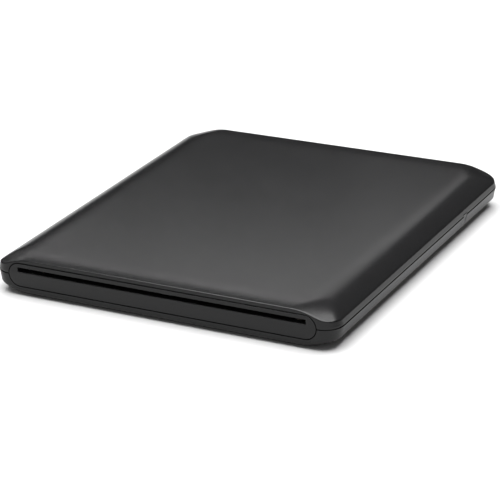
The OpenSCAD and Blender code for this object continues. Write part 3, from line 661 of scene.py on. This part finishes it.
def glass_material(name, color):
    mat, nodes, links, bsdf = node_material(name)
    vector = coordinates(nodes)
    fine = noise(nodes, links, vector, 3000.0)
    links.new(ramp(nodes, links, fine, [(0.3, shade(color, 0.96)), (0.7, color)]), bsdf.inputs["Base Color"])
    links.new(value_range(nodes, links, fine, 0.02, 0.06), bsdf.inputs["Roughness"])
    bsdf.inputs["Transmission Weight"].default_value = 0.9
    bsdf.inputs["IOR"].default_value = 1.5
    return mat


FINISHES = {
    "case_black": dict(color=(0.011, 0.011, 0.0115), rough=0.22, grain=5200, bump_strength=0.35,
                       spread_rough=0.03, tint=0.06, edge_tint=0.25),
    "bezel_black": dict(color=(0.011, 0.011, 0.0115), rough=0.22, grain=5200, bump_strength=0.25,
                        spread_rough=0.03, tint=0.06, edge_tint=0.25),
    "felt": dict(color=(0.006, 0.006, 0.006), rough=0.95, grain=7000, bump_strength=0.8, specular=0.1),
    "foot_rubber": dict(color=(0.016, 0.016, 0.016), rough=0.75, grain=4000, bump_strength=0.3),
    "screw_black": dict(color=(0.03, 0.03, 0.03), rough=0.4, metallic=0.7, edge_tint=0.8),
    "screw_steel": dict(color=(0.6, 0.6, 0.61), rough=0.28, metallic=1.0, edge_tint=0.3),
    "chip_black": dict(color=(0.02, 0.02, 0.021), rough=0.55, grain=6000, bump_strength=0.3),
    "can_alu": dict(color=(0.6, 0.6, 0.62), rough=0.3, metallic=1.0, stretch=(1, 1, 0.05)),
    "ferrite": dict(color=(0.05, 0.05, 0.052), rough=0.6, grain=5000, bump_strength=0.4),
    "plug_metal": dict(color=(0.66, 0.66, 0.67), rough=0.25, metallic=1.0, stretch=(1, 0.05, 1)),
    "plug_black": dict(color=(0.02, 0.02, 0.02), rough=0.45),
    "connector_ivory": dict(color=(0.6, 0.54, 0.4), rough=0.45, tint=0.05),
    "sheet_steel": dict(color=(0.5, 0.51, 0.52), rough=0.34, metallic=1.0, grain=2500, stretch=(1, 0.04, 1),
                        edge_tint=0.3),
    "shaft_steel": dict(color=(0.62, 0.62, 0.63), rough=0.18, metallic=1.0, grain=4000),
    "gear_resin": dict(color=(0.68, 0.65, 0.56), rough=0.42, tint=0.05, edge_tint=0.15),
    "brass": dict(color=(0.7, 0.48, 0.18), rough=0.26, metallic=1.0, edge_tint=0.3),
    "motor_steel": dict(color=(0.46, 0.47, 0.48), rough=0.36, metallic=1.0, stretch=(0.05, 1, 1)),
    "roller_rubber": dict(color=(0.02, 0.02, 0.02), rough=0.7, grain=3500, bump_strength=0.4),
    "deck_steel": dict(color=(0.16, 0.17, 0.18), rough=0.45, metallic=0.8, edge_tint=0.5),
    "stator_copper": dict(color=(0.5, 0.22, 0.07), rough=0.35, metallic=0.9, grain=1800, stretch=(1, 1, 6),
                          bump_strength=0.6),
    "rotor_steel": dict(color=(0.56, 0.57, 0.58), rough=0.26, metallic=1.0, grain=2500),
    "magnet": dict(color=(0.05, 0.05, 0.055), rough=0.5, metallic=0.4),
    "sled_zinc": dict(color=(0.28, 0.29, 0.3), rough=0.45, metallic=0.9, bump_strength=0.4, edge_tint=0.4),
    "holder_black": dict(color=(0.018, 0.018, 0.018), rough=0.4),
    "guide_black": dict(color=(0.02, 0.02, 0.02), rough=0.25),
}
MATERIALS = {name: surface_material(name, **finish) for name, finish in FINISHES.items()}
MATERIALS["pcb_green"] = board_material("pcb_green", (0.012, 0.09, 0.04))
MATERIALS["lens_glass"] = glass_material("lens_glass", (0.82, 0.9, 0.97))
SLOT_OF = {s["node"]: s["material_slot"] for s in frame["record"]["subparts"]}


def give_material(obj, slot_name):
    obj.data.materials.clear()
    obj.data.materials.append(MATERIALS[slot_name])


# ------------------------------------------------------------------ carried-over CAD nodes

REPLACED = {"top_cover", "bottom_cover", "front_bezel"}
GEARS = {"roller_gear", "load_gear_1", "load_gear_2", "motor_pinion"}
WELD_DISTANCE = 1e-6
BEVEL_WIDTH = 0.00005
BEVEL_ANGLE = math.radians(40)
for node_name, node_obj in frame["nodes"].items():
    if node_name in REPLACED:
        continue
    give_material(node_obj, SLOT_OF[node_name])
    for polygon in node_obj.data.polygons:
        polygon.use_smooth = False
    weld = node_obj.modifiers.new("weld", "WELD")
    weld.merge_threshold = WELD_DISTANCE
    if node_name not in GEARS:
        bevel = node_obj.modifiers.new("bevel", "BEVEL")
        bevel.width = BEVEL_WIDTH
        bevel.segments = 2
        bevel.limit_method = "ANGLE"
        bevel.angle_limit = BEVEL_ANGLE


# ------------------------------------------------------------------ case pieces

SHELL_SMOOTH_ANGLE = 38
top_cover = build_top_cover()
cut_ports(top_cover)
bottom_cover = build_bottom_cover()
cut_ports(bottom_cover)
cut_underside(bottom_cover)
for shell, cad_node in ((top_cover, "top_cover"), (bottom_cover, "bottom_cover")):
    smooth_by_angle(shell, SHELL_SMOOTH_ANGLE)
    give_material(shell, "case_black")
    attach(shell, "base")
    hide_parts(cad_node)
bezel_plate = build_bezel()
give_material(bezel_plate, "bezel_black")
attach(bezel_plate, "base")
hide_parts("front_bezel")


# ------------------------------------------------------------------ stage, light, camera

# floor: its size, the colours of its mirror image (painted shade: darker than the floor the camera sees, darkest
# towards the front), and the glow seen by the camera far from the case; metres
FLOOR_HALF = 3.0
PAINTED_SHADE_FROM_Y = -0.09
REFLECTED_FLOOR_PAINTED_SHADE = [(0.0, (0.47, 0.47, 0.47)), (1.0, (0.66, 0.66, 0.66))]
GLOW_START = 0.25
GLOW_FULL = 0.6
GLOW = 1.2

# world: brightness by height, extra light from the front, and the white that the camera sees
SKY = [(0.0, (0.02, 0.02, 0.02)), (0.3, (0.02, 0.02, 0.02)), (0.4, (0.12, 0.12, 0.12)), (0.6, (0.1, 0.1, 0.1)),
       (0.8, (0.1, 0.1, 0.1)), (1.0, (0.4, 0.4, 0.4))]
FRONT_FILL = 0.2
FRONT_FILL_START = 0.2
FRONT_FILL_FULL = 0.7
SEEN_WHITE = 1.2

# lamps: one overhead, and panels behind the case (name, x from, x to, z from, z to, gain)
OVERHEAD_Z = 1.1
OVERHEAD_SIZE = 1.32
OVERHEAD_POWER = 23.5
PANEL_POWER = 6.0
PANEL_Y = 0.6
PANELS = [("panel_1", -1.0, -0.4, 0.367, 0.43, 1.1),
          ("panel_2", -0.4, -0.31, 0.355, 0.42, 1.1),
          ("panel_3", -0.31, -0.24, 0.337, 0.41, 0.95),
          ("panel_4", -0.24, -0.05, 0.29, 0.39, 0.6),
          ("panel_5", -0.4, -0.1, 0.4, 0.48, 0.35)]

# camera: angles in radians, lengths in mm, focal length in pixels of a 500 pixel wide image
AZIMUTH = 0.493
ELEVATION = 0.3968
ROLL = -0.037
DISTANCE = 893.13
SHIFT_RIGHT = 2.4307
SHIFT_UP = 11.8102
AIM_Z = 10.8
FOCAL_PX = 2210.36
SIDE_PX = 500
SENSOR = 36.0


def mix_by_ray(nodes, links, seen, other):
    """One colour for camera rays, another for light that is reflected or bounced."""
    path = nodes.new("ShaderNodeLightPath")
    mix = nodes.new("ShaderNodeMix")
    mix.data_type = "RGBA"
    links.new(path.outputs["Is Camera Ray"], mix.inputs["Factor"])
    links.new(other, mix.inputs["A"])
    links.new(seen, mix.inputs["B"])
    return mix.outputs["Result"]


def build_stage():
    """A pale floor; its mirror image in the case and the light it bounces are painted shade, dimmer towards the
    front.
    """
    bm = bmesh.new()
    bmesh.ops.create_grid(bm, x_segments=8, y_segments=8, size=FLOOR_HALF)
    floor = new_object("stage_floor", bm)
    mat, nodes, links, bsdf = node_material("stage_white")
    vector = coordinates(nodes)
    fine = noise(nodes, links, vector, 40.0)
    seen = ramp(nodes, links, fine, [(0.3, (0.9, 0.9, 0.9)), (0.7, (0.92, 0.92, 0.92))])
    split = nodes.new("ShaderNodeSeparateXYZ")
    links.new(vector, split.inputs["Vector"])
    depth = value_range(nodes, links, split.outputs["Y"], 0.0, 1.0, PAINTED_SHADE_FROM_Y, 0.0)
    # painted shade: for reflections and bounced light the floor gets a darker colour, darkest towards the front
    other = ramp(nodes, links, depth, REFLECTED_FLOOR_PAINTED_SHADE)
    links.new(mix_by_ray(nodes, links, seen, other), bsdf.inputs["Base Color"])
    distance = nodes.new("ShaderNodeVectorMath")
    distance.operation = "LENGTH"
    links.new(vector, distance.inputs[0])
    far = value_range(nodes, links, distance.outputs["Value"], 0.0, GLOW, GLOW_START, GLOW_FULL)
    path = nodes.new("ShaderNodeLightPath")
    glow = nodes.new("ShaderNodeMath")
    glow.operation = "MULTIPLY"
    links.new(path.outputs["Is Camera Ray"], glow.inputs[0])
    links.new(far, glow.inputs[1])
    bsdf.inputs["Emission Color"].default_value = (1, 1, 1, 1)
    links.new(glow.outputs["Value"], bsdf.inputs["Emission Strength"])
    bsdf.inputs["Roughness"].default_value = 0.9
    bsdf.inputs["Specular IOR Level"].default_value = 0.0
    floor.data.materials.append(mat)


def build_world():
    """White for the camera; a dim studio with a little light from the front for everything else."""
    world = bpy.data.worlds.new("studio")
    bpy.context.scene.world = world
    world.use_nodes = True
    nodes, links = world.node_tree.nodes, world.node_tree.links
    background = nodes["Background"]
    geometry = nodes.new("ShaderNodeNewGeometry")
    split = nodes.new("ShaderNodeSeparateXYZ")
    links.new(geometry.outputs["Incoming"], split.inputs["Vector"])
    flip = nodes.new("ShaderNodeMath")
    flip.operation = "MULTIPLY"
    flip.inputs[1].default_value = -1.0
    links.new(split.outputs["Z"], flip.inputs[0])
    sky = ramp(nodes, links, flip.outputs["Value"], SKY)
    front = value_range(nodes, links, split.outputs["Y"], 0.0, FRONT_FILL, FRONT_FILL_START, FRONT_FILL_FULL)
    add = nodes.new("ShaderNodeMix")
    add.data_type = "RGBA"
    add.blend_type = "ADD"
    add.inputs["Factor"].default_value = 1.0
    links.new(sky, add.inputs["A"])
    links.new(front, add.inputs["B"])
    white = nodes.new("ShaderNodeRGB")
    white.outputs["Color"].default_value = (SEEN_WHITE, SEEN_WHITE, SEEN_WHITE, 1)
    lit = mix_by_ray(nodes, links, white.outputs["Color"], add.outputs["Result"])
    links.new(lit, background.inputs["Color"])
    background.inputs["Strength"].default_value = 1.0


def area_light(name, location, target, size, power):
    data = bpy.data.lights.new(name, "AREA")
    data.shape = "RECTANGLE"
    data.size, data.size_y = size
    data.energy = power
    obj = bpy.data.objects.new(name, data)
    bpy.context.scene.collection.objects.link(obj)
    obj.location = location
    obj.rotation_mode = "QUATERNION"
    obj.rotation_quaternion = (Vector(target) - Vector(location)).to_track_quat("-Z", "Y")
    obj.visible_camera = False


def build_camera():
    back = Vector((math.sin(AZIMUTH) * math.cos(ELEVATION), -math.cos(AZIMUTH) * math.cos(ELEVATION),
                   math.sin(ELEVATION)))
    level_right = (-back).cross(Vector((0, 0, 1))).normalized()
    level_up = level_right.cross(-back)
    right = math.cos(ROLL) * level_right + math.sin(ROLL) * level_up
    up = -math.sin(ROLL) * level_right + math.cos(ROLL) * level_up
    location = Vector((0, 0, AIM_Z)) + back * DISTANCE - right * SHIFT_RIGHT - up * SHIFT_UP
    data = bpy.data.cameras.new("camera")
    data.sensor_width = SENSOR
    data.lens = FOCAL_PX * SENSOR / SIDE_PX
    data.clip_start, data.clip_end = 0.01, 20
    cam = bpy.data.objects.new("camera", data)
    bpy.context.scene.collection.objects.link(cam)
    cam.matrix_world = Matrix.Translation(location * MM) @ Matrix((right, up, back)).transposed().to_4x4()
    bpy.context.scene.camera = cam


build_stage()
build_world()
area_light("overhead", (0, 0, OVERHEAD_Z), (0, 0, 0), (OVERHEAD_SIZE, OVERHEAD_SIZE), OVERHEAD_POWER)
for panel, x0, x1, z0, z1, gain in PANELS:
    x_mid, z_mid = (x0 + x1) / 2, (z0 + z1) / 2
    area_light(panel, (x_mid, PANEL_Y, z_mid), (x_mid, 0, z_mid), (x1 - x0, z1 - z0),
               PANEL_POWER * gain * (x1 - x0) * (z1 - z0))
build_camera()
bpy.context.scene.view_settings.view_transform = "Standard"
